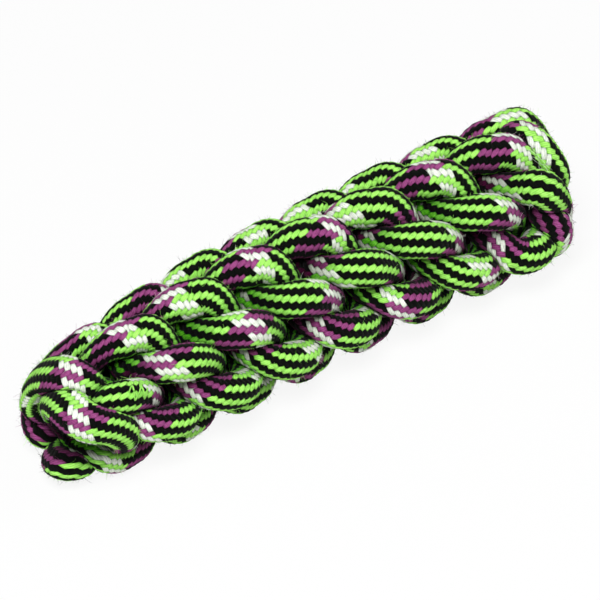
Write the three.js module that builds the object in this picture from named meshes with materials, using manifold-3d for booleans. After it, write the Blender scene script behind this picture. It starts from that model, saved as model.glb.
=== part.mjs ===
// Rope dog toy: four soft braided cotton cords, each folded in half and twisted on itself,
// laid together into one stiff round stick that lies on the ground.
// Millimetres. X runs along the stick, Z is up, and the origin is on the ground under its middle.
import * as THREE from "three";
import { mergeVertices } from "three/addons/utils/BufferGeometryUtils.js";
import Module from "manifold-3d";

// The cord
const cordDiameter = 11.55; // where it lies open on the outside of the stick
const buriedShare = 0.62; // of that, where its neighbours squeeze it inside
const cutEndGap = 2; // between a cord's own two cut ends, which meet inside the stick
const sideCount = 7;

// The lay of the stick, which is as thick as its eight runs of cord make it
const layLength = 171; // between the two ends of the lay, without the folds that round them off
const stickShare = 4.5; // of the cord's diameter, as the next one is
const pitchShare = 1.99; // from one visible leaf of cord to the next in the same column
const layStartShare = -0.5; // of that pitch, from the crest of the first leaf
const columnCount = 7;
const cordCount = 4;
const stepsPerLeaf = 5;

// How a run of cord swings out to a leaf and back under the next one
const swingShare = 0.277;
const sharpenShare = -0.119;
const leanTurn = 0.28;
const leanSharpenTurn = -0.024;
const stretchShare = 0.048;
const stretchSharpenShare = -0.064;

// The folds that close both ends
const foldReachShare = 0.7;
const foldDrawShare = 0.9;
const foldPinchShare = 0.3; // the bend squeezes the cord there
const foldSteps = 8;
const tuckLeafCount = 3; // how many leaves from the far end, at the least, the cut ends meet

// How the finished stick has settled: slimmer toward its near end, bent forward in its far
// half, and with its upper back side drawn along toward the far end
const taperShare = 0.17; // of its thickness, at the near end of the lay
const taperStartShare = 0.2; // of half the lay, from its middle
const bendShare = 0.09; // of the stick's diameter, as the next two are
const drawnShare = 0.13;
const drawnStartShare = 0.23; // how far below the stick's axis that side begins

// The flats that the stick lies on
const restCutShare = 0.1;

const buriedDiameter = cordDiameter * buriedShare;
const stickDiameter = cordDiameter * stickShare;
const leafPitch = cordDiameter * pitchShare;
const layStart = leafPitch * layStartShare;
const leafTurn = (2 * Math.PI) / columnCount;
const leafRise = (leafPitch * cordCount) / columnCount;
const cordRise = leafPitch / columnCount;
const facingAngle = Math.PI / 2 - leafTurn; // up from -Y, so that two columns share the ground
const crestRadius = stickDiameter / 2 - cordDiameter / 2;
const meanRadius = crestRadius * (1 - swingShare - sharpenShare);
const layMiddle = layStart + layLength / 2;

const wasm = await Module();
wasm.setup();

// A point of one run of a cord. A run shows as a leaf on every second whole leaf number.
function laidPoint(cord, run, leaf) {
  const phase = Math.PI * (leaf - run);
  const radius = meanRadius
    + crestRadius * (swingShare * Math.cos(phase) + sharpenShare * Math.cos(2 * phase));
  const angle = facingAngle - leafTurn * (leaf + 2 * cord)
    + leanTurn * Math.sin(phase) + leanSharpenTurn * Math.sin(2 * phase);
  const along = leafRise * leaf + cordRise * cord
    + leafPitch * (stretchShare * Math.sin(phase) + stretchSharpenShare * Math.sin(2 * phase));
  return new THREE.Vector3(along, -radius * Math.cos(angle), radius * Math.sin(angle));
}

// How far open the cord lies there: 1 on the crest of a leaf, 0 at its deepest.
function openness(run, leaf) {
  return (1 + Math.cos(Math.PI * (leaf - run))) / 2;
}

// The two plies of a cord are joined at its end by a fold that is drawn in toward the axis.
function foldPoints(cord, fromRun, leaf, outward) {
  const nudge = outward / stepsPerLeaf;
  const [start, end] = [fromRun, 1 - fromRun].map((run) => laidPoint(cord, run, leaf));
  const [startHandle, endHandle] = [fromRun, 1 - fromRun].map((run) => {
    const base = laidPoint(cord, run, leaf);
    const reach = laidPoint(cord, run, leaf + nudge).sub(base);
    reach.setLength(cordDiameter * foldReachShare);
    const handle = base.clone().add(reach);
    handle.y *= foldDrawShare;
    handle.z *= foldDrawShare;
    return handle;
  });
  const curve = new THREE.CubicBezierCurve3(start, startHandle, endHandle, end);
  return curve.getPoints(foldSteps).slice(1, -1);
}

// Evenly spaced leaf numbers, both ends among them.
function leavesBetween(from, to) {
  const count = Math.round(Math.abs(to - from) * stepsPerLeaf);
  return Array.from({ length: count + 1 }, (_, i) => THREE.MathUtils.lerp(from, to, i / count));
}

// The whole route of one cord, from its cut end round both folds to its other cut end.
// The cut ends meet at a deepest point of their run, where no one sees them.
function cordRoute(cord) {
  const firstLeaf = (layStart - cordRise * cord) / leafRise;
  const lastLeaf = firstLeaf + layLength / leafRise;
  const cutLeaf = 2 * Math.floor((lastLeaf - tuckLeafCount) / 2);
  const halfGap = cutEndGap / 2 / leafRise;
  const stops = [];
  const addRun = (run, from, to) => {
    leavesBetween(from, to).forEach((leaf) => {
      stops.push({ point: laidPoint(cord, run, leaf), open: openness(run, leaf) });
    });
  };
  const addFold = (fromRun, leaf, outward) => {
    const points = foldPoints(cord, fromRun, leaf, outward);
    points.forEach((point, i) => {
      const share = (i + 1) / (points.length + 1);
      const open = THREE.MathUtils.lerp(openness(fromRun, leaf), openness(1 - fromRun, leaf), share);
      stops.push({ point, open: open - foldPinchShare * Math.sin(Math.PI * share) });
    });
  };
  addRun(1, cutLeaf - halfGap, firstLeaf);
  addFold(1, firstLeaf, -1);
  addRun(0, firstLeaf, lastLeaf);
  addFold(0, lastLeaf, 1);
  addRun(1, lastLeaf, cutLeaf + halfGap);
  return stops;
}

// How thick the settled stick is at a place along it, as a share of its full thickness.
function slimming(along) {
  const nearness = (layMiddle - along) / (layLength / 2);
  const reach = Math.max(0, (nearness - taperStartShare) / (1 - taperStartShare));
  return 1 - taperShare * reach * reach;
}

// Where a point of the even lay ends up. The stick slims down toward the line that it rests on.
function settled(point) {
  const slim = slimming(point.x);
  const y = point.y * slim;
  const z = (point.z + crestRadius) * slim - crestRadius;
  const share = Math.max(0, (point.x - layMiddle) / (layLength / 2));
  const upBack = (y + z) * Math.SQRT1_2 + stickDiameter * drawnStartShare;
  const full = stickDiameter * (1 / 2 + drawnStartShare);
  const drawn = (Math.max(0, upBack) / full) ** 2;
  const x = point.x + stickDiameter * drawnShare * drawn;
  return new THREE.Vector3(x, y - stickDiameter * bendShare * share * share, z);
}

function radiusAt(stop) {
  return THREE.MathUtils.lerp(buriedDiameter, cordDiameter, stop.open) / 2;
}

// The least gap of a cord to itself, between stops further apart along it than half way round
// it, which no single bend joins, once the stick has settled. The two cut ends face each other
// across their own gap, so the stops on either side of it are left out.
function leastGap(stops) {
  const turnReach = (Math.PI * cordDiameter) / 2;
  const travelled = [0];
  for (let i = 1; i < stops.length; i++) {
    travelled.push(travelled[i - 1] + stops[i].point.distanceTo(stops[i - 1].point));
  }
  const whole = travelled[stops.length - 1];
  let least = Infinity;
  stops.forEach((a, i) => {
    stops.forEach((b, k) => {
      const between = travelled[k] - travelled[i];
      if (between < turnReach || whole - between < turnReach) return;
      const gap = a.point.distanceTo(b.point) - radiusAt(a) - radiusAt(b);
      least = Math.min(least, gap * slimming((a.point.x + b.point.x) / 2));
    });
  });
  return least;
}

// A closed tube through the stops, with a ring of sideCount points at each of them.
function cordGeometry(stops) {
  const rings = stops.length;
  const centre = stops.map((stop) => stop.point);
  const positions = [];
  let normal = new THREE.Vector3(0, centre[0].y, centre[0].z);
  for (let i = 0; i < rings; i++) {
    const ahead = centre[Math.min(i + 1, rings - 1)];
    const behind = centre[Math.max(i - 1, 0)];
    const tangent = ahead.clone().sub(behind).normalize();
    normal = normal.clone().addScaledVector(tangent, -normal.dot(tangent)).normalize();
    const side = tangent.clone().cross(normal);
    const radius = radiusAt(stops[i]);
    for (let k = 0; k < sideCount; k++) {
      const angle = (2 * Math.PI * k) / sideCount;
      const corner = centre[i].clone()
        .addScaledVector(normal, radius * Math.cos(angle))
        .addScaledVector(side, radius * Math.sin(angle));
      positions.push(...settled(corner).toArray());
    }
  }
  positions.push(...settled(centre[0]).toArray(), ...settled(centre[rings - 1]).toArray());
  const faces = [];
  for (let k = 0; k < sideCount; k++) {
    const next = (k + 1) % sideCount;
    faces.push(rings * sideCount, next, k);
    const base = (rings - 1) * sideCount;
    faces.push(rings * sideCount + 1, base + k, base + next);
    for (let i = 0; i < rings - 1; i++) {
      const [a, b] = [i * sideCount + k, i * sideCount + next];
      const [c, d] = [a + sideCount, b + sideCount];
      faces.push(a, b, d, a, d, c);
    }
  }
  const geometry = new THREE.BufferGeometry();
  geometry.setAttribute("position", new THREE.Float32BufferAttribute(positions, 3));
  geometry.setIndex(faces);
  return geometry;
}

function solidOf(geometry) {
  const merged = mergeVertices(geometry);
  return new wasm.Manifold(new wasm.Mesh({
    numProp: 3,
    vertProperties: new Float32Array(merged.attributes.position.array),
    triVerts: new Uint32Array(merged.index.array),
  }));
}

function geometryOf(solid) {
  const mesh = solid.getMesh();
  const geometry = new THREE.BufferGeometry();
  geometry.setAttribute("position", new THREE.BufferAttribute(mesh.vertProperties, 3));
  geometry.setIndex(new THREE.BufferAttribute(mesh.triVerts, 1));
  geometry.computeVertexNormals();
  return geometry;
}

const routes = Array.from({ length: cordCount }, (_, cord) => cordRoute(cord));
routes.forEach((stops, cord) => {
  console.log(`cord ${cord + 1}: least gap to itself ${leastGap(stops).toFixed(2)} mm`);
});

const cords = routes.map(cordGeometry);
const bounds = new THREE.Box3();
cords.forEach((geometry) => {
  geometry.computeBoundingBox();
  bounds.union(geometry.boundingBox);
});

// Everything below the ground plane is pressed flat by the toy's own weight.
const groundHeight = bounds.min.z + cordDiameter * restCutShare;
const middle = (bounds.min.x + bounds.max.x) / 2;
const midway = (bounds.min.y + bounds.max.y) / 2;
const belowGround = new THREE.BoxGeometry(layLength * 2, stickDiameter * 2, stickDiameter);
belowGround.deleteAttribute("normal");
belowGround.deleteAttribute("uv");
belowGround.translate(middle, midway, groundHeight - stickDiameter / 2);
const cutter = solidOf(belowGround);

const ropeToy = new THREE.Group();
cords.forEach((geometry, cord) => {
  const resting = geometryOf(solidOf(geometry).subtract(cutter));
  const material = new THREE.MeshStandardMaterial({ color: 0x4f8f33, roughness: 0.95, metalness: 0 });
  const mesh = new THREE.Mesh(resting, material);
  mesh.name = `folded_cord_${cord + 1}`;
  mesh.position.set(-middle, -midway, -groundHeight);
  ropeToy.add(mesh);
});

export default ropeToy;
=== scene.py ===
import math
from collections import namedtuple

import bpy
import numpy as np
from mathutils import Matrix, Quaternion, Vector


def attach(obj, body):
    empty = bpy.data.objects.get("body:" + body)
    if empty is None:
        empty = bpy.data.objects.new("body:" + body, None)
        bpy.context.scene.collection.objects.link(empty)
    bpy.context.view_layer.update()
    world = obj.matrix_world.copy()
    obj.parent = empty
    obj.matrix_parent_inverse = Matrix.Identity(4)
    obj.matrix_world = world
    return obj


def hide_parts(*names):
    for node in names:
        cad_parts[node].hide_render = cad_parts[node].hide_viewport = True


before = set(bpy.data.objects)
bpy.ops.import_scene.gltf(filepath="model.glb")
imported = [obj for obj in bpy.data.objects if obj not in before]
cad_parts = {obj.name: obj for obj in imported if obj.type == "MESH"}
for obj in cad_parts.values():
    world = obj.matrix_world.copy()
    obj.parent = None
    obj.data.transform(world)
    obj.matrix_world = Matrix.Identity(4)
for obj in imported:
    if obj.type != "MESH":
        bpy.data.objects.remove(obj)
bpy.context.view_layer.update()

MM = 0.001

# The lay of the stick, the same as the solids have it, in millimetres until the meshes are made
CAD_CORD = 11.55
STICK_SHARE = 4.5
PITCH_SHARE = 1.99
LAY_LENGTH = 171.0
COLUMNS = 7
CORDS = 4
STICK_DIAMETER = CAD_CORD * STICK_SHARE
LEAF_PITCH = CAD_CORD * PITCH_SHARE
LEAF_TURN = 2 * math.pi / COLUMNS
LEAF_RISE = LEAF_PITCH * CORDS / COLUMNS
CORD_RISE = LEAF_PITCH / COLUMNS
LAY_START = -LEAF_PITCH / 2
LAY_MIDDLE = LAY_START + LAY_LENGTH / 2
FACING = math.pi / 2 - LEAF_TURN

# How a run of cord swings out to a leaf and back under the next one
SWING, SHARPEN = 0.277, -0.119
LEAN, LEAN_SHARPEN = 0.28, -0.024
STRETCH, STRETCH_SHARPEN = 0.048, -0.064
CREST = STICK_DIAMETER / 2 - CAD_CORD / 2
MEAN = CREST * (1 - SWING - SHARPEN)

# How much sooner than in the solids the leaves of each column dive under the next ones
DIVES = (3.2, 1.4, 0.5, 0.5, 0.5, 0.3, 0.3)

# Where the two cut ends of a cord meet inside the stick, and how far out they are taken to lie
TUCK_LEAVES = 3
CUT_GAP = 2.0
CUT_OUTNESS = 0.5

# How the finished stick has settled: slimmer toward its near end, bent forward in its far half,
# and with its upper back side drawn along
TAPER, TAPER_START = 0.17, 0.2
BEND = 0.09
DRAWN, DRAWN_START = 0.13, 0.23

# From places on the lay, along, across and up from the stick's axis, to places in the frame
SHIFT = np.array([-76.076, 1.846, 23.691])

# The line along the stick's axis that the cords' outer sides face away from
CORE_START, CORE_END = -2.0, 150.0

# The loose folds that round off the ends. Each says on which leaf it leaves the lay, the places
# that it passes, with how open the cord lies there, and on which leaf it joins the lay again.
NEAR_FOLDS = (
    (-0.12, (
        (-4, -4.5, 10, 0.5), (-7.5, -5, 16, 0.8), (-10.5, -3, 20, 1), (-12.5, 0, 21.5, 1),
        (-14, 5, 20, 1), (-15, 12, 15, 1), (-15.5, 17, 7.5, 1), (-15.5, 18.5, 1, 0.9),
        (-13, 16.5, -3.5, 0.7), (-10, 13.5, -4.5, 0.4), (-6.5, 7.5, -2.5, 0.3), (-5, -1.5, 4, 0.3),
        (-4.5, -9, 9.5, 0.5),
    ), -0.3),
    (-0.38, (
        (-3, -19, 1.5, 1), (-7.5, -20.5, 8, 1.1), (-12, -20, 12, 1.2), (-15, -16, 15, 1.2),
        (-16, -10.5, 16.5, 1.1), (-16, -3, 15.5, 0.9), (-14.5, 4, 9.5, 0.6), (-12.5, 6.5, 1.5, 0.4),
        (-10, 4, -5, 0.3), (-9, -1.5, -10, 0.3),
    ), -0.62),
    (-1.3, (
        (-15.5, 2, -17, 0.9), (-16.5, -5.5, -14, 1), (-14.5, -7.5, -14.5, 1), (-10.5, -6, -16, 0.7),
    ), -1.3),
    (-1.25, (
        (-7.5, 24.5, 1, 1), (-9, 27.5, -7, 1), (-11.5, 25.5, -12, 1), (-13.5, 19, -13.5, 1),
        (-12.5, 13.5, -14.5, 0.9), (-8, 14, -16, 0.6), (-3.5, 14, -10, 0.3),
    ), -1.1),
)
FAR_FOLDS = (
    (12.25, (
        (166, 14.5, 14, 0.9), (171, 14, 9.5, 0.8), (175, 14, 3, 0.6), (176, 11.5, -1.5, 0.4),
        (174, 5.5, -2.5, 0.4), (171.5, -1.5, 1.5, 0.7), (169.5, -4, 7.5, 0.9), (167, -3, 12.5, 1),
        (164.5, -1, 16.5, 1), (161.5, 3, 18, 0.9), (160, 7, 15.5, 0.6),
    ), 12.05),
    (11.55, (
        (157.5, -16, 13.5, 1), (161, -16, 9, 1), (165, -12.5, 1, 0.9), (168, -8, -8.5, 0.7),
        (167, -6, -15, 0.6), (163, -10.5, -14, 0.8), (162, -15.5, -9, 1), (161.5, -17.5, -3, 1),
        (160.5, -15.5, 1.5, 0.9), (160.5, -10.5, 3.5, 0.5),
    ), 11.9),
    (10.85, (
        (154.5, -6, -6, 0.3), (158.5, -3.5, -11, 0.5), (160, -6, -11, 0.7), (159, -11.5, -9, 0.9),
        (156, -17, -7.5, 1), (151.5, -20.5, -7, 1), (146, -21, -6, 1), (142.5, -18, -3.5, 0.8),
    ), 10.2),
    (11.0, (
        (159.5, 5.5, -7.5, 0.3), (161.5, 1, -7.5, 0.5), (162, -2, -10.5, 0.6), (161, -0.5, -16, 0.8),
        (159, 4.5, -19.5, 1),
    ), 11.0),
)
FOLD_LEAD = 0.2
FOLD_STEPS = 24

# The soft cord is wider than its solid, and pressed flat where it meets its neighbours
OPEN_RADIUS = 6.0
DEEP_RADIUS = 4.8
RING_STEP = 0.38
SIDES = 80
STOPS_PER_LEAF = 120
ROUTE_BLUR = 1.2
TURN_BLUR = 5.0

# Every third ring of a cord presses on the other cords, and on its own where that comes back past it
PRESSING_RINGS = 3
OWN_TURN_LENGTH = 19.0
SAME_RING_GAP = 0.5
SKIN_GAP = 0.12
LEAST_FACING = 0.05
LEAST_REACH = 1.5
UNPRESSED_REACH = 99.0
PRESS_BLEND = 0.7
PRESS_BLUR = 1.5

# The height at which the cord lies flat on the floor, and how softly it rises from there
REST_HEIGHT = 0.15
REST_SOFTNESS = 0.8

# The braid: each yarn passes over two and under two. Columns are counted round the cord and steps
# along it. S yarns are purple or lime, Z yarns white or black, and the black ones are the fattest.
YARN_COLUMNS = 32
YARN_STEP = 2.65
STRETCH_LIMITS = (0.7, 1.9)
STRETCH_BLUR = 3
STEPS_BETWEEN_CORDS = 5.3
S_YARNS = "PPPPP" + "L" * 11
Z_YARNS = "WWWW" + "B" * 12
LIFT, ROUND = 0.22, 0.13
FAT_LEAD = 0.1

# Loose fibres on the cords' outer sides. Each leaves the cord at a slant, curls over and thins
# toward its tip.
FUZZ_COUNT = 4500
FUZZ_DRAWS = 3 * FUZZ_COUNT
FUZZ_SEED = 40
FUZZ_END_RINGS = 4
FUZZ_OUTNESS = 0.72
FUZZ_HEIGHT = 3.0
FUZZ_STAND = 0.55
FUZZ_CURL_STAND, FUZZ_CURL_SPREAD = 0.8, 0.6
FUZZ_CURL, FUZZ_STRAIGHTEN = 0.6, 0.4
FUZZ_ROOT = 0.1
FUZZ_LENGTH_SHAPE, FUZZ_LENGTH_SCALE = 3.0, 0.33
FUZZ_LENGTHS = (0.4, 2.6)
FUZZ_RADII = (0.03, 0.06)
FUZZ_THINNING = 0.55
FUZZ_STATIONS = np.array([0, 0.33, 0.67, 1.0])

# A slanting direction, which the sides of the fibres are laid out from
FIBRE_SLANT = np.array([0.31, 0.52, 0.79])

# A yarn pulled up in small loops on one leaf near the near end, and a few long fibres across the
# far end, as places in the frame. A column and a step of the braid say which yarn they come from.
SNAG = (
    ((-74.9, -15.4, 36.4), (-73.2, -14.8, 38), (-73.7, -16.6, 37.1),
     (-74.1, -17.3, 34.3), (-71.7, -16.9, 36.7)),
    ((-74.1, -17.3, 34.3), (-71.7, -16.9, 36.7), (-70.3, -14.7, 37),
     (-70.6, -17.1, 35.9), (-70.6, -17.1, 32.7)),
    ((-70.3, -14.7, 36.7), (-70.6, -17.1, 35.9), (-70.6, -17.1, 32.9),
     (-69.1, -16.7, 35), (-68.1, -15.1, 34.4)),
)
STRAYS = (
    ((84.1, -9.3, 46.4), (85.6, -11, 45.2), (88, -12.5, 41.5),
     (89.4, -12.8, 38.9), (91.3, -13.1, 36.3)),
    ((84.1, -11.3, 44.7), (86, -12.7, 43.2), (86.6, -13.6, 41.6),
     (85.9, -16.5, 42.4), (84.9, -20, 42.6)),
    ((86.3, -8.7, 45.5), (86.9, -11.8, 43.7), (86, -13.2, 40.2),
     (84.6, -16.6, 42.3), (81.8, -19.7, 43)),
    ((82.8, -9.9, 46.1), (85.2, -13, 42.7), (86.8, -13, 41),
     (89.3, -12.4, 39), (91, -12.6, 36.6)),
)
SNAG_CORD, SNAG_RADIUS = 1, 0.3
STRAY_CORD, STRAY_RADIUS = 2, 0.045
LOOSE_STEPS = 6
LIME_YARN, WHITE_YARN = (0.5, 9.25), (2.5, -0.25)

# The threads in a yarn and the fibres on it, counted across the yarn and along it
THREADS, THREAD_SLANT, THREAD_WANDER = 3.0, 0.55, 0.5
WANDER_SCALE, WANDER_DETAIL = 2.3, 2.0
FIBRES_ACROSS, FIBRES_ALONG = 16.0, 2.2
FIBRE_DETAIL, FIBRE_ROUGHNESS = 3.0, 0.65
BLOTCH_SCALE, BLOTCH_DETAIL = 0.9, 2.0

# Each of these goes from its third value to its fourth as what it follows goes from the first to
# the second. Those of threads, seams and valleys are painted shade in the grooves of the braid;
# those of fibres and blotches are the cotton's own uneven tone.
THREAD_PAINTED_SHADE = (0.0, 0.6, 0.66, 1.06)
FIBRE_TONE = (0.3, 0.72, 0.78, 1.12)
BLOTCH_TONE = (0.3, 0.7, 0.84, 1.06)
SEAM_PAINTED_SHADE = (0.0, 0.085, 0.3, 1.0)
VALLEY_PAINTED_SHADE = (0.0, 0.27, 0.45, 1.0)
# Painted shade down between the leaves, where a place lies far in toward the stick's core: the dye deepened
# and dimmed to this share of its light
SUNK_PAINTED_SHADE = (0.55, 0.93, 1.0, 0.0)
SUNK_PAINTED_LIGHT = 0.42

# The cotton's relief and gloss
BUMP_STRENGTH, BUMP_DISTANCE = 0.7, 0.0003
YARN_BUMP, THREAD_BUMP, FIBRE_BUMP = 2.2, 0.35, 0.7
COTTON_ROUGHNESS = 0.9
COTTON_SPECULAR = 0.06
COTTON_SHEEN, SHEEN_ROUGHNESS = 0.03, 0.5

# The studio, in metres and watts
FLOOR_SIZE = 8
FLOOR_GREY = 0.8
FLOOR_GLOW = 0.9
WORLD_LIGHT = 0.13
KEY_PLACE, KEY_SIZE, KEY_POWER = (-0.5, -0.55, 1.35), 0.7, 26
FILL_PLACE, FILL_SIZE, FILL_POWER = (0.9, -0.6, 0.9), 0.8, 3.5

# The camera, a long lens from the front left
AZIMUTH, ELEVATION, ROLL = math.radians(-33.0), math.radians(40.0), math.radians(4.5)
AIM = Vector((0.0003, 0.0005, 0.0225))
DISTANCE = 1.6
MM_ACROSS = 189.5
SENSOR_WIDTH = 36
CLIP_START, CLIP_END = 0.05, 50

Route = namedtuple("Route", "travelled points opened")
Crowd = namedtuple("Crowd", "cords travelled points radii")
Surface = namedtuple("Surface", "verts ways tangent outness column step")
Yarns = namedtuple("Yarns", "height lead dye across along place")


def colour(r, g, b):
    """An sRGB colour of 0 to 255 as the linear one that a socket takes."""
    def linear(v):
        v /= 255
        return v / 12.92 if v <= 0.04045 else ((v + 0.055) / 1.055) ** 2.4
    return (linear(r), linear(g), linear(b), 1.0)


LIME, PURPLE = colour(180, 250, 118), colour(162, 80, 138)
BLACK, WHITE = colour(8, 11, 7), colour(246, 252, 240)


def unit(v):
    return v / np.linalg.norm(v, axis=-1, keepdims=True)


def soft_min(a, b, blend):
    """The lesser of the two, with the change from one to the other rounded off."""
    h = np.clip(0.5 + 0.5 * (b - a) / blend, 0, 1)
    return b * (1 - h) + a * h - blend * h * (1 - h)


def smooth(values, width):
    """A running mean weighted by a bell of this width, in rings."""
    reach = int(3 * width)
    bell = np.exp(-0.5 * (np.arange(-reach, reach + 1) / width) ** 2)
    bell /= bell.sum()
    padded = np.concatenate([np.repeat(values[:1], reach, 0), values, np.repeat(values[-1:], reach, 0)])
    if values.ndim == 1:
        return np.convolve(padded, bell, "valid")
    return np.stack([np.convolve(padded[:, k], bell, "valid") for k in range(values.shape[1])], -1)


def through(stops, steps):
    """A smooth curve through the stops, in so many steps between each two. The first and the last
    stop only steer it, and it ends one step before the last but one."""
    t = np.linspace(0, 1, steps, endpoint=False)[:, None]
    return np.concatenate([
        0.5 * (2 * b + (c - a) * t + (2 * a - 5 * b + 4 * c - d) * t ** 2 + (3 * b - a - 3 * c + d) * t ** 3)
        for a, b, c, d in zip(stops, stops[1:], stops[2:], stops[3:])])


def laid(cord, run, leaf):
    """Places on one run of a cord. A run shows as a leaf on every second whole leaf number."""
    leaf = np.asarray(leaf, float)
    phase = math.pi * (leaf - run)
    column = (2 * np.round((leaf - run) / 2) + run + 2 * cord).astype(int) % COLUMNS
    radius = MEAN + CREST * (SWING * np.cos(phase) + SHARPEN * np.cos(2 * phase))
    radius = radius - np.array(DIVES)[column] * np.sin(phase) ** 2
    angle = FACING - LEAF_TURN * (leaf + 2 * cord)
    angle = angle + LEAN * np.sin(phase) + LEAN_SHARPEN * np.sin(2 * phase)
    along = LEAF_RISE * leaf + CORD_RISE * cord
    along = along + LEAF_PITCH * (STRETCH * np.sin(phase) + STRETCH_SHARPEN * np.sin(2 * phase))
    return np.stack([along, -radius * np.cos(angle), radius * np.sin(angle)], -1)


def openness(run, leaf):
    """How far open the cord lies there: 1 on the crest of a leaf, 0 at its deepest."""
    return (1 + np.cos(math.pi * (np.asarray(leaf, float) - run))) / 2


def radius_of(opened):
    return DEEP_RADIUS + (OPEN_RADIUS - DEEP_RADIUS) * opened


def settled(points):
    """Where points of the even lay end up. The stick slims down toward the line that it rests on."""
    x, y, z = points[..., 0], points[..., 1], points[..., 2]
    share = (x - LAY_MIDDLE) / (LAY_LENGTH / 2)
    reach = np.maximum(0, (-share - TAPER_START) / (1 - TAPER_START))
    slim = 1 - TAPER * reach ** 2
    y, z = y * slim, (z + CREST) * slim - CREST
    up_back = (y + z) * math.sqrt(0.5) + STICK_DIAMETER * DRAWN_START
    drawn = (np.maximum(0, up_back) / (STICK_DIAMETER * (0.5 + DRAWN_START))) ** 2
    bent = STICK_DIAMETER * BEND * np.maximum(0, share) ** 2
    return np.stack([x + STICK_DIAMETER * DRAWN * drawn, y - bent, z], -1)


def rested(points):
    """Points in the frame, with those near the floor or below it pressed flat on it."""
    height = points[..., 2]
    start = REST_HEIGHT + REST_SOFTNESS
    flattened = REST_HEIGHT + REST_SOFTNESS * np.exp((height - start) / REST_SOFTNESS)
    points[..., 2] = np.where(height < start, flattened, height)
    return points


def core_beside(points):
    """The places on the stick's core line that are nearest to these."""
    core = np.zeros_like(points)
    core[..., 0] = np.clip(points[..., 0], CORE_START, CORE_END)
    return core


def run_between(cord, run, start, stop):
    """Places along one run from one leaf number to another, and how open the cord lies there."""
    leaves = np.linspace(start, stop, max(2, round(abs(stop - start) * STOPS_PER_LEAF)))
    return laid(cord, run, leaves), openness(run, leaves)


def fold(cord, from_run, leaf, places, to_leaf, outward):
    """A smooth curve from one ply of a cord through these places to its other ply."""
    def stop(run, at):
        return np.r_[laid(cord, run, at), openness(run, at)]
    lead = FOLD_LEAD * outward
    stops = [stop(from_run, leaf - lead), stop(from_run, leaf)]
    stops += [np.array(place, float) for place in places]
    stops += [stop(1 - from_run, to_leaf), stop(1 - from_run, to_leaf - lead)]
    curve = through(stops, FOLD_STEPS)[1:]
    return curve[:, :3], curve[:, 3]


def route_of(cord):
    """A cord's whole route in evenly spaced rings, from its cut end round both folds to its other cut end."""
    last_leaf = (LAY_START - CORD_RISE * cord + LAY_LENGTH) / LEAF_RISE
    cut_leaf = 2 * math.floor((last_leaf - TUCK_LEAVES) / 2)
    half_gap = CUT_GAP / 2 / LEAF_RISE
    near_leaf, near_places, near_back = NEAR_FOLDS[cord]
    far_leaf, far_places, far_back = FAR_FOLDS[cord]
    parts = (
        run_between(cord, 1, cut_leaf - half_gap, near_leaf),
        fold(cord, 1, near_leaf, near_places, near_back, -1),
        run_between(cord, 0, near_back, far_leaf),
        fold(cord, 0, far_leaf, far_places, far_back, 1),
        run_between(cord, 1, far_back, cut_leaf + half_gap),
    )
    points, opened = (np.concatenate(values) for values in zip(*parts))
    travelled = np.r_[0, np.cumsum(np.linalg.norm(np.diff(points, axis=0), axis=1))]
    even = np.linspace(0, travelled[-1], round(travelled[-1] / RING_STEP))
    points = np.stack([np.interp(even, travelled, points[:, k]) for k in range(3)], -1)
    opened = np.interp(even, travelled, opened)
    blur = ROUTE_BLUR / RING_STEP
    return Route(even, smooth(points, blur), smooth(opened, blur))


def ring_frames(points):
    """Tangent, outward normal and side of each ring. The outward normal faces away from the stick's core."""
    tangent = unit(np.gradient(points, axis=0))
    wanted = unit(points - core_beside(points))
    carried = np.zeros_like(points)
    carried[0] = wanted[0] - tangent[0] * (wanted[0] @ tangent[0])
    for i in range(len(points)):
        before = carried[max(i - 1, 0)]
        carried[i] = unit(before - tangent[i] * (before @ tangent[i]))
    side = np.cross(tangent, carried)
    turn = np.unwrap(np.arctan2((wanted * side).sum(1), (wanted * carried).sum(1)))
    turn = smooth(turn, TURN_BLUR / RING_STEP)
    normal = carried * np.cos(turn)[:, None] + side * np.sin(turn)[:, None]
    return tangent, normal, np.cross(tangent, normal)


def crowd_of(routes):
    """The rings of all cords that press on a cord."""
    pressing = [[values[::PRESSING_RINGS] for values in route] for route in routes]
    cords = np.repeat(np.arange(len(routes)), [len(travelled) for travelled, _, _ in pressing])
    travelled, points, opened = (np.concatenate(values) for values in zip(*pressing))
    return Crowd(cords, travelled, points, radius_of(opened))


def pressed_reach(cord, route, own, ways, crowd):
    """How far each ring of a cord reaches each way: its own radius, or less where it meets a cord."""
    reach = np.repeat(own[:, None], SIDES, 1)
    for i in range(len(own)):
        offset = crowd.points - route.points[i]
        gap = np.linalg.norm(offset, axis=1)
        turned = np.abs(crowd.travelled - route.travelled[i]) > OWN_TURN_LENGTH
        near = (gap < own[i] + crowd.radii) & (gap > SAME_RING_GAP) & (turned | (crowd.cords != cord))
        if not near.any():
            continue
        gap, offset, other = gap[near], offset[near], crowd.radii[near]
        plane = (gap ** 2 + own[i] ** 2 - other ** 2) / (2 * gap)
        facing = ways[i] @ (offset / gap[:, None]).T
        limit = (plane - SKIN_GAP) / np.maximum(facing, LEAST_FACING)
        limit = np.where(facing > LEAST_FACING, limit, UNPRESSED_REACH).min(1)
        reach[i] = soft_min(np.maximum(limit, LEAST_REACH), reach[i], PRESS_BLEND)
    return np.stack([smooth(reach[:, k], PRESS_BLUR) for k in range(SIDES)], 1)


def braid_steps(outer):
    """Which step of the braid each ring is at. The steps are even on the cord's outer side."""
    least, most = (limit * RING_STEP for limit in STRETCH_LIMITS)
    stretch = np.linalg.norm(np.gradient(outer, axis=0), axis=1)
    return np.cumsum(smooth(np.clip(stretch, least, most), STRETCH_BLUR)) / YARN_STEP


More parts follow.
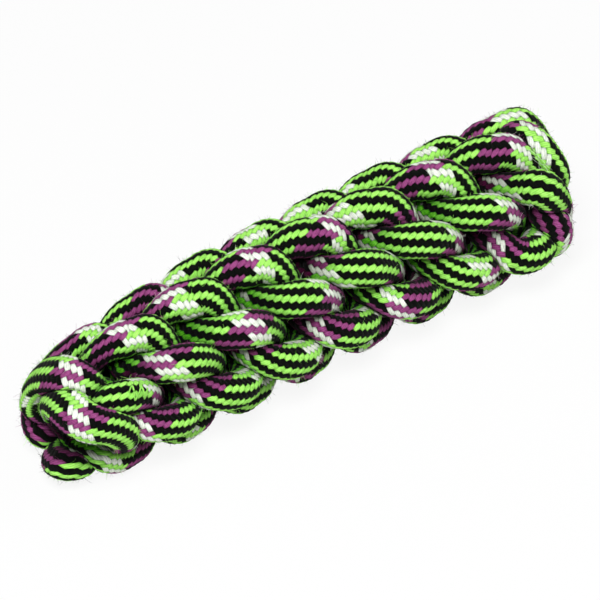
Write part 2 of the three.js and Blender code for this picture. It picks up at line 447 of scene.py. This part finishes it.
def yarn_height(column, step):
    """Height of the braid, from 0 at its lowest. S yarns run where a is whole, Z yarns where b is."""
    a, b = step - column / 2, step + column / 2
    i, j = np.round(a), np.round(b)
    over_s = LIFT * np.cos(math.pi / 2 * (b - i - 0.5)) + ROUND * (1 - 4 * (a - i) ** 2)
    over_z = -LIFT * np.cos(math.pi / 2 * (j - a - 0.5)) + ROUND * (1 - 4 * (b - j) ** 2)
    return np.maximum(over_s, over_z)


def make_piece(name, mesh_name, verts, faces, braid, outness):
    """An object of these points and faces. Each corner of a face says at which column and step of
    the braid it is, and each point how far out on the stick it lies, with 1 on the leaves."""
    mesh = bpy.data.meshes.new(mesh_name)
    mesh.from_pydata((verts * MM).tolist(), [], faces)
    uv = mesh.uv_layers.new(name="braid")
    uv.data.foreach_set("uv", braid.astype(np.float32).ravel())
    outward = mesh.attributes.new("outness", "FLOAT", "POINT")
    outward.data.foreach_set("value", outness.astype(np.float32))
    mesh.polygons.foreach_set("use_smooth", [True] * len(mesh.polygons))
    piece = bpy.data.objects.new(name, mesh)
    bpy.context.collection.objects.link(piece)
    return piece


def tube_faces(rings):
    """The four-sided faces of a tube, and the triangles that close its ends round a point each."""
    index = np.arange(rings * SIDES).reshape(rings, SIDES)
    after = np.roll(index, -1, 1)
    quads = np.stack([index[:-1], after[:-1], after[1:], index[1:]], -1).reshape(-1, 4)
    caps = [(rings * SIDES, after[0, k], index[0, k]) for k in range(SIDES)]
    caps += [(rings * SIDES + 1, index[-1, k], after[-1, k]) for k in range(SIDES)]
    return quads.tolist(), caps


def braid_at_corners(column, step):
    """The column and step of the braid at the four corners of each face of a tube."""
    left, low = np.broadcast_arrays(column[None, :], step[:-1, None])
    right = left - YARN_COLUMNS / SIDES
    high = np.broadcast_to(step[1:, None], low.shape)
    corners = [np.stack(corner, -1) for corner in ((left, low), (right, low), (right, high), (left, high))]
    return np.stack(corners, 2).reshape(-1, 2)


def braided_cord(cord, route, crowd):
    """One cord as a closed mesh with its braid in relief, and its surface, for the fuzz to grow on."""
    points, own = route.points, radius_of(route.opened)
    tangent, normal, side = ring_frames(points)
    theta = np.linspace(-math.pi, math.pi, SIDES, endpoint=False)
    ways = normal[:, None] * np.cos(theta)[None, :, None] + side[:, None] * np.sin(theta)[None, :, None]
    column = -theta * YARN_COLUMNS / (2 * math.pi)
    step = braid_steps(points + normal * own[:, None]) + cord * STEPS_BETWEEN_CORDS
    reach = pressed_reach(cord, route, own, ways, crowd)
    reach = reach + yarn_height(column[None, :], step[:, None]) - LIFT
    verts = points[:, None] + ways * reach[..., None]
    outness = np.linalg.norm(verts - core_beside(verts), axis=-1) / (STICK_DIAMETER / 2)
    verts = rested(settled(verts) + SHIFT)
    cut_ends = settled(points[[0, -1]]) + SHIFT
    quads, caps = tube_faces(len(points))
    piece = make_piece(
        f"braided_cord_{cord + 1}", f"folded_cord_{cord + 1}_braid",
        np.concatenate([verts.reshape(-1, 3), cut_ends]), quads + caps,
        np.concatenate([braid_at_corners(column, step), np.zeros((len(caps) * 3, 2))]),
        np.r_[outness.ravel(), CUT_OUTNESS, CUT_OUTNESS])
    return piece, Surface(verts, ways, tangent, outness, column, step)


def fibre_piece(name, stations, radii, braid):
    """One mesh of many thin closed fibres of three sides, each through its row of stations."""
    count, length = stations.shape[:2]
    along = unit(np.gradient(stations, axis=1))
    aside = unit(np.cross(along, FIBRE_SLANT))
    third = np.cross(along, aside)
    turns = np.arange(3) * 2 * math.pi / 3
    ring = aside[:, :, None] * np.cos(turns)[:, None] + third[:, :, None] * np.sin(turns)[:, None]
    verts = (stations[:, :, None] + ring * radii[..., None, None]).reshape(-1, 3)
    first = (np.arange(count) * length * 3)[:, None]
    quads = []
    for i in range(length - 1):
        for k in range(3):
            a, b = 3 * i + k, 3 * i + (k + 1) % 3
            quads.append(np.concatenate([first + a, first + b, first + b + 3, first + a + 3], 1))
    tip = 3 * (length - 1)
    caps = [np.concatenate([first + 2, first + 1, first], 1),
            np.concatenate([first + tip, first + tip + 1, first + tip + 2], 1)]
    fibres = np.arange(count)
    owner = np.r_[np.repeat(np.tile(fibres, len(quads)), 4), np.repeat(np.tile(fibres, len(caps)), 3)]
    faces = np.concatenate(quads).tolist() + np.concatenate(caps).tolist()
    return make_piece(name, name, verts, faces, braid[owner], np.ones(len(verts)))


def fuzz(cord, surface):
    """Short loose fibres that stand off the outer side of a cord."""
    random = np.random.default_rng(FUZZ_SEED + cord)
    verts, ways, tangent, outness, column, step = surface
    ring = random.integers(FUZZ_END_RINGS, len(verts) - FUZZ_END_RINGS, FUZZ_DRAWS)
    side = random.integers(0, SIDES, FUZZ_DRAWS)
    seen = (outness[ring, side] > FUZZ_OUTNESS) & (verts[ring, side, 2] > FUZZ_HEIGHT)
    ring, side = ring[seen][:FUZZ_COUNT], side[seen][:FUZZ_COUNT]
    out, ahead = ways[ring, side], tangent[ring]
    across = np.cross(out, ahead)
    lean = random.normal(0, 1, (len(ring), 2))
    start = unit(out * FUZZ_STAND + ahead * lean[:, :1] + across * lean[:, 1:])
    curl = unit(out * FUZZ_CURL_STAND + random.normal(0, FUZZ_CURL_SPREAD, out.shape))
    length = random.gamma(FUZZ_LENGTH_SHAPE, FUZZ_LENGTH_SCALE, len(ring)).clip(*FUZZ_LENGTHS)[:, None]
    root = verts[ring, side] - out * FUZZ_ROOT
    bow = (curl - start * FUZZ_STRAIGHTEN) * length * FUZZ_CURL
    stations = np.stack([root + start * length * t + bow * t * t for t in FUZZ_STATIONS], 1)
    radii = random.uniform(*FUZZ_RADII, (len(ring), 1)) * (1 - FUZZ_THINNING * FUZZ_STATIONS)
    return fibre_piece(f"fuzz_{cord + 1}", stations, radii, np.stack([column[side], step[ring]], -1))


def loose_piece(name, rows, radius, yarn):
    """Loose yarns or fibres, each on a smooth curve through its row of places."""
    stations = []
    for row in rows:
        places = [np.array(place, float) for place in row]
        before, after = 2 * places[0] - places[1], 2 * places[-1] - places[-2]
        curve = through([before] + places + [after], LOOSE_STEPS)
        stations.append(np.concatenate([curve, places[-1:]]))
    stations = np.stack(stations)
    radii = np.full(stations.shape[:2], radius)
    return fibre_piece(name, stations, radii, np.repeat([yarn], len(rows), 0))


class Graph:
    """Short calls for building the nodes of a material or a world."""

    def __init__(self, owner):
        owner.use_nodes = True
        self.tree = owner.node_tree
        self.tree.nodes.clear()

    def node(self, kind, **settings):
        made = self.tree.nodes.new(kind)
        for key, value in settings.items():
            setattr(made, key, value)
        return made

    def put(self, socket, value):
        if isinstance(value, bpy.types.NodeSocket):
            self.tree.links.new(value, socket)
        else:
            socket.default_value = value

    def fill(self, sockets, values):
        for socket, value in zip(sockets, values):
            self.put(socket, value)

    def math(self, operation, *values, clamp=False):
        made = self.node("ShaderNodeMath", operation=operation, use_clamp=clamp)
        self.fill(made.inputs, values)
        return made.outputs[0]

    def mix(self, factor, a, b, blend="MIX"):
        made = self.node("ShaderNodeMix", data_type="RGBA", blend_type=blend)
        self.fill((made.inputs[0], made.inputs[6], made.inputs[7]), (factor, a, b))
        return made.outputs[2]

    def choose(self, factor, a, b):
        made = self.node("ShaderNodeMix", data_type="FLOAT")
        self.fill((made.inputs[0], made.inputs[2], made.inputs[3]), (factor, a, b))
        return made.outputs[0]

    def span(self, value, low, high, to_low, to_high):
        made = self.node("ShaderNodeMapRange", interpolation_type="SMOOTHSTEP")
        self.fill(made.inputs, (value, low, high, to_low, to_high))
        return made.outputs[0]

    def noise(self, vector, scale, detail, roughness=0.5):
        made = self.node("ShaderNodeTexNoise")
        sockets = [made.inputs[name] for name in ("Vector", "Scale", "Detail", "Roughness")]
        self.fill(sockets, (vector, scale, detail, roughness))
        return made.outputs[0]

    def vector(self, x, y, z=0.0):
        made = self.node("ShaderNodeCombineXYZ")
        self.fill(made.inputs, (x, y, z))
        return made.outputs[0]

    def by_yarn(self, number, letters, colours):
        """A colour for each yarn by its number round the braid."""
        place = self.math("FLOORED_MODULO", self.math("ADD", number, 0.5), float(len(letters)))
        ramp = self.node("ShaderNodeValToRGB")
        ramp.color_ramp.interpolation = "CONSTANT"
        self.put(ramp.inputs[0], self.math("DIVIDE", place, float(len(letters))))
        marks = [k for k in range(len(letters)) if k == 0 or letters[k] != letters[k - 1]]
        stops = ramp.color_ramp.elements
        while len(stops) < len(marks):
            stops.new(0.5)
        for stop, mark in zip(list(stops), marks):
            stop.position = mark / len(letters)
            stop.color = colours[letters[mark]]
        return ramp.outputs[0]

    def yarn_height(self, across, number, along, sign):
        """Height of one yarn of the braid, as in the mesh, and how far off the middle of the yarn it is."""
        wave = self.math("MULTIPLY", self.math("SUBTRACT", along, 0.5), math.pi / 2)
        wave = self.math("MULTIPLY", self.math("COSINE", wave), sign * LIFT)
        off = self.math("SUBTRACT", across, number)
        crown = self.math("MULTIPLY_ADD", self.math("MULTIPLY", off, off), -4 * ROUND, ROUND)
        return self.math("ADD", wave, crown), off

    def seen_ray(self):
        """1 for the rays that see the backdrop itself, and 0 for those that only light by it."""
        path = self.node("ShaderNodeLightPath")
        seen = self.math("MAXIMUM", path.outputs["Is Camera Ray"], path.outputs["Is Glossy Ray"])
        return self.math("MAXIMUM", seen, path.outputs["Is Transmission Ray"])


def yarns_on_top(g):
    """The yarn that lies on top at each place of the braid: its height and its lead over the yarn
    that it crosses, its dye, and the place across and along it. The black yarns are the fattest,
    so they show wider than the others."""
    place = g.node("ShaderNodeSeparateXYZ")
    g.put(place.inputs[0], g.node("ShaderNodeUVMap", uv_map="braid").outputs[0])
    column, step = place.outputs[0], place.outputs[1]
    half = g.math("MULTIPLY", column, 0.5)
    a, b = g.math("SUBTRACT", step, half), g.math("ADD", step, half)
    i, j = g.math("ROUND", a), g.math("ROUND", b)
    high_s, off_s = g.yarn_height(a, i, g.math("SUBTRACT", b, i), 1)
    high_z, off_z = g.yarn_height(b, j, g.math("SUBTRACT", j, a), -1)
    fat = g.by_yarn(j, Z_YARNS, {"W": (0, 0, 0, 1), "B": (1, 1, 1, 1)})
    lead = g.math("SUBTRACT", g.math("SUBTRACT", high_s, high_z), g.math("MULTIPLY", fat, FAT_LEAD))
    is_s = g.math("GREATER_THAN", lead, 0.0)
    s_dye = g.by_yarn(i, S_YARNS, {"P": PURPLE, "L": LIME})
    z_dye = g.by_yarn(j, Z_YARNS, {"W": WHITE, "B": BLACK})
    return Yarns(
        height=g.math("MAXIMUM", high_s, high_z),
        lead=g.math("ABSOLUTE", lead),
        dye=g.mix(is_s, z_dye, s_dye),
        across=g.choose(is_s, off_z, off_s),
        along=g.choose(is_s, a, b),
        place=g.vector(a, b))


def threads_and_fibres(g, yarns):
    """The relief of the twisted threads side by side in each yarn, and of the fine fibres on them."""
    wander = g.noise(yarns.place, WANDER_SCALE, WANDER_DETAIL)
    wander = g.math("MULTIPLY_ADD", wander, THREAD_WANDER, -THREAD_WANDER / 2)
    thread = g.math("ADD", g.math("MULTIPLY", yarns.across, THREADS), wander)
    thread = g.math("MULTIPLY", g.math("MULTIPLY_ADD", yarns.along, THREAD_SLANT, thread), math.pi)
    across = g.math("MULTIPLY", yarns.across, FIBRES_ACROSS)
    along = g.math("MULTIPLY", yarns.along, FIBRES_ALONG)
    fibre = g.noise(g.vector(across, along), 1.0, FIBRE_DETAIL, FIBRE_ROUGHNESS)
    return g.math("ABSOLUTE", g.math("SINE", thread)), fibre


def painted_shade_and_tone(g, yarns, thread, fibre):
    """How light the cotton is painted: painted shade between its threads, in the seams where one yarn
    dives under the next and in the valleys of the braid, with its own uneven tone along its fibres
    and in soft blotches."""
    tone_and_painted_shade = g.math("MULTIPLY", g.span(thread, *THREAD_PAINTED_SHADE), g.span(fibre, *FIBRE_TONE))
    blotch = g.noise(yarns.place, BLOTCH_SCALE, BLOTCH_DETAIL)
    for value, limits in ((blotch, BLOTCH_TONE), (yarns.lead, SEAM_PAINTED_SHADE), (yarns.height, VALLEY_PAINTED_SHADE)):
        tone_and_painted_shade = g.math("MULTIPLY", tone_and_painted_shade, g.span(value, *limits))
    return tone_and_painted_shade


def dye_in_painted_shade(g, dye, tone_and_painted_shade):
    """The dye under painted shade. The deeper the painted shade, the richer the dye, as painted light
    bounced between the yarns. Down between the leaves of cord, far in toward the stick's core, the
    colour is painted darker and richer still."""
    richer_dye_for_painted_shade = g.mix(1.0, dye, dye, "MULTIPLY")
    dye_under_painted_shade = g.mix(g.math("SUBTRACT", 1.0, tone_and_painted_shade, clamp=True), dye, richer_dye_for_painted_shade)
    dye_under_painted_shade = g.mix(1.0, dye_under_painted_shade, g.vector(tone_and_painted_shade, tone_and_painted_shade, tone_and_painted_shade), "MULTIPLY")
    # Painted shade far in toward the stick's core: the dye deepened again and dimmed
    painted_sunk_shade = g.mix(1.0, dye_under_painted_shade, dye_under_painted_shade, "MULTIPLY")
    painted_sunk_shade = g.mix(1.0, painted_sunk_shade, (SUNK_PAINTED_LIGHT, SUNK_PAINTED_LIGHT, SUNK_PAINTED_LIGHT, 1), "MULTIPLY")
    outness = g.node("ShaderNodeAttribute", attribute_name="outness").outputs["Fac"]
    return g.mix(g.span(outness, *SUNK_PAINTED_SHADE), dye_under_painted_shade, painted_sunk_shade)


def relief(g, yarns, thread, fibre):
    """The bumps of yarns, threads and fibres together."""
    height = g.math("ADD", g.math("MULTIPLY", thread, THREAD_BUMP), g.math("MULTIPLY", fibre, FIBRE_BUMP))
    height = g.math("ADD", g.math("MULTIPLY", yarns.height, YARN_BUMP), height)
    bump = g.node("ShaderNodeBump")
    g.put(bump.inputs["Strength"], BUMP_STRENGTH)
    g.put(bump.inputs["Distance"], BUMP_DISTANCE)
    g.put(bump.inputs["Height"], height)
    return bump.outputs[0]


def braided_cotton():
    """Cotton yarns braided over two and under two, in four dyes, with their threads and fibres."""
    material = bpy.data.materials.new("braided_cotton")
    g = Graph(material)
    yarns = yarns_on_top(g)
    thread, fibre = threads_and_fibres(g, yarns)
    # Painted shade in the grooves, seams and valleys of the braid, with the cotton's own uneven tone
    tone_and_painted_shade = painted_shade_and_tone(g, yarns, thread, fibre)
    shader = g.node("ShaderNodeBsdfPrincipled")
    for name, value in (
            ("Base Color", dye_in_painted_shade(g, yarns.dye, tone_and_painted_shade)),
            ("Normal", relief(g, yarns, thread, fibre)),
            ("Roughness", COTTON_ROUGHNESS),
            ("Specular IOR Level", COTTON_SPECULAR),
            ("Sheen Weight", COTTON_SHEEN),
            ("Sheen Roughness", SHEEN_ROUGHNESS)):
        g.put(shader.inputs[name], value)
    g.put(g.node("ShaderNodeOutputMaterial").inputs[0], shader.outputs[0])
    return material


def pale_floor():
    """A wide floor that looks white from every side and keeps the toy's shadow."""
    bpy.ops.mesh.primitive_plane_add(size=FLOOR_SIZE, location=(0, 0, 0))
    floor = bpy.context.object
    floor.name = "floor"
    material = bpy.data.materials.new("pale_floor")
    g = Graph(material)
    diffuse = g.node("ShaderNodeBsdfDiffuse")
    g.put(diffuse.inputs[0], (FLOOR_GREY, FLOOR_GREY, FLOOR_GREY, 1))
    blend = g.node("ShaderNodeMixShader")
    g.put(blend.inputs[0], g.math("MULTIPLY", g.seen_ray(), FLOOR_GLOW))
    g.put(blend.inputs[1], diffuse.outputs[0])
    g.put(blend.inputs[2], g.node("ShaderNodeEmission").outputs[0])
    g.put(g.node("ShaderNodeOutputMaterial").inputs[0], blend.outputs[0])
    floor.data.materials.append(material)


def white_world():
    """A world that is seen white and gives a faint even light."""
    world = bpy.data.worlds.new("studio")
    bpy.context.scene.world = world
    g = Graph(world)
    sky = g.node("ShaderNodeBackground")
    g.put(sky.inputs[0], (1, 1, 1, 1))
    g.put(sky.inputs[1], g.math("MULTIPLY_ADD", g.seen_ray(), 1 - WORLD_LIGHT, WORLD_LIGHT))
    g.put(g.node("ShaderNodeOutputWorld").inputs[0], sky.outputs[0])


def lamp(name, place, size, power):
    """A round lamp that shines at the frame's origin."""
    data = bpy.data.lights.new(name, "AREA")
    data.shape, data.size, data.energy = "DISK", size, power
    light = bpy.data.objects.new(name, data)
    bpy.context.collection.objects.link(light)
    light.location = place
    light.rotation_euler = (-Vector(place)).to_track_quat("-Z", "Y").to_euler()


def add_camera():
    level = math.cos(ELEVATION)
    back = Vector((math.sin(AZIMUTH) * level, -math.cos(AZIMUTH) * level, math.sin(ELEVATION)))
    data = bpy.data.cameras.new("camera")
    data.sensor_width = SENSOR_WIDTH
    data.lens = SENSOR_WIDTH * DISTANCE / (MM_ACROSS * MM)
    data.clip_start, data.clip_end = CLIP_START, CLIP_END
    camera = bpy.data.objects.new("camera", data)
    bpy.context.collection.objects.link(camera)
    camera.location = AIM + back * DISTANCE
    camera.rotation_mode = "QUATERNION"
    camera.rotation_quaternion = Quaternion(-back, ROLL) @ (-back).to_track_quat("-Z", "Y")
    bpy.context.scene.camera = camera


def dress(piece, number, cotton):
    """Gives a piece its cotton, lets it move with the toy and puts it in place of a cord's solid."""
    piece.data.materials.append(cotton)
    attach(piece, "root")
    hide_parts(f"folded_cord_{number}")


cotton = braided_cotton()
routes = [route_of(cord) for cord in range(CORDS)]
crowd = crowd_of(routes)
for cord, route in enumerate(routes):
    piece, surface = braided_cord(cord, route, crowd)
    dress(piece, cord + 1, cotton)
    dress(fuzz(cord, surface), cord + 1, cotton)
dress(loose_piece("pulled_yarn", SNAG, SNAG_RADIUS, LIME_YARN), SNAG_CORD, cotton)
dress(loose_piece("stray_fibres", STRAYS, STRAY_RADIUS, WHITE_YARN), STRAY_CORD, cotton)

pale_floor()
white_world()
lamp("key", KEY_PLACE, KEY_SIZE, KEY_POWER)
lamp("fill", FILL_PLACE, FILL_SIZE, FILL_POWER)
add_camera()
bpy.context.scene.view_settings.view_transform = "Standard"
